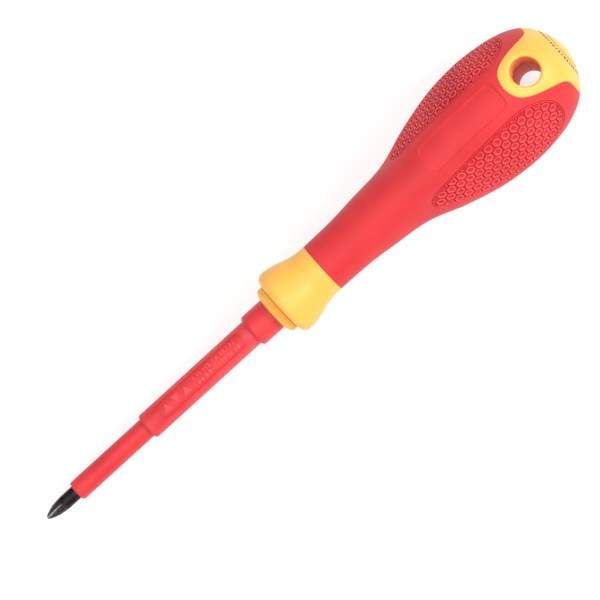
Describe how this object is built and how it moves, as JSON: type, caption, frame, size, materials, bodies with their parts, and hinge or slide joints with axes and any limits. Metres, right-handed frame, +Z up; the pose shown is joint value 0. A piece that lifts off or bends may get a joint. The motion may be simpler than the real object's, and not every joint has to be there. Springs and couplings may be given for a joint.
{
  "type": "insulated screwdriver",
  "caption": "Insulated screwdriver: sleeved cross-point blade that locks into a lobed handle with honeycomb soft grip, finger guard, release ring and hanging hole.",
  "frame": {"origin": "centre of the bounding box on the table plane, with the tool lying label face up on its finger guard and lower grip face", "axes": "+X along the tool from the tip towards the butt, +Z up from the table, +Y to the left seen from the tip"},
  "size_m": [0.1844, 0.0336, 0.0327],
  "materials": {
    "black_steel": "blackened, satin",
    "red_insulation": "satin",
    "yellow_plastic": "smooth, semi-gloss",
    "red_soft_grip": "soft, matt",
    "bare_steel": "turned",
    "spring_steel": "drawn wire"
  },
  "bodies": {
    "handle": {"handle_core": "yellow_plastic", "soft_grip": "red_soft_grip", "front_bush": "yellow_plastic", "bit_socket": "bare_steel", "return_spring": "spring_steel", "lock_clip": "spring_steel"},
    "release": {"release_ring": "yellow_plastic", "release_sleeve": "bare_steel"},
    "blade": {"phillips_blade": "black_steel", "inner_sleeve": "red_insulation", "marking_sleeve": "red_insulation", "blade_collar": "red_insulation"}
  },
  "joints": [
    {"name": "release_slide", "type": "slide", "parent": "handle", "child": "release", "axis": [-0.9975, 0, -0.0709], "range_m": [0, 0.003], "stiffness_N_per_m": 600, "springref_m": -0.002, "deforming": ["return_spring"]},
    {"name": "blade_slide", "type": "slide", "parent": "handle", "child": "blade", "axis": [-0.9975, 0, -0.0709], "range_m": [0, 0.04], "deforming": ["lock_clip"]}
  ]
}
